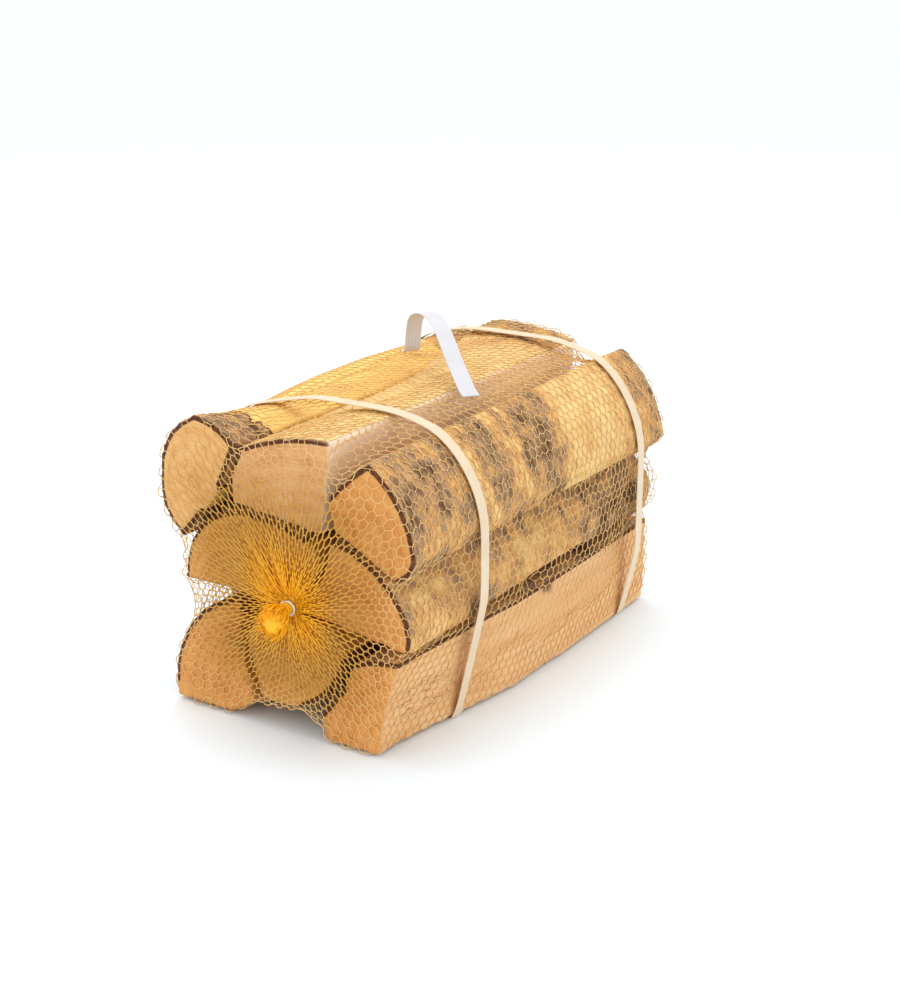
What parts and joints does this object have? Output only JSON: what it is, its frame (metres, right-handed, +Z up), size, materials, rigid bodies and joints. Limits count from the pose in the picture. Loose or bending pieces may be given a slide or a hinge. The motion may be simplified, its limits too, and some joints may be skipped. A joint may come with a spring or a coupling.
{
  "type": "firewood bundle",
  "caption": "Netted bundle of split firewood logs with bark, held by flat straps, with a flat carry handle on top and the net drawn together and clipped at both ends.",
  "frame": {"origin": "on the floor under the middle of the bundle's box", "axes": "+Y along the logs, away from the shown end; +Z up; +X to the right seen from the shown end"},
  "size_m": [0.2126, 0.3908, 0.243],
  "materials": {
    "log": "dry split wood with rough bark",
    "net": "satin knitted plastic net",
    "strap": "semi-gloss embossed packing strap",
    "handle": "smooth woven-look plastic band",
    "clip": "plain bright metal"
  },
  "bodies": {
    "root": {"log_top_left": "log", "log_top_middle": "log", "log_top_right": "log", "log_middle_left": "log", "log_middle_right": "log", "log_bottom_left": "log", "log_bottom_middle": "log", "log_bottom_right": "log", "net_sack": "net", "front_strap": "strap", "back_strap": "strap", "carry_handle": "handle", "front_clip": "clip", "back_clip": "clip"}
  },
  "joints": []
}
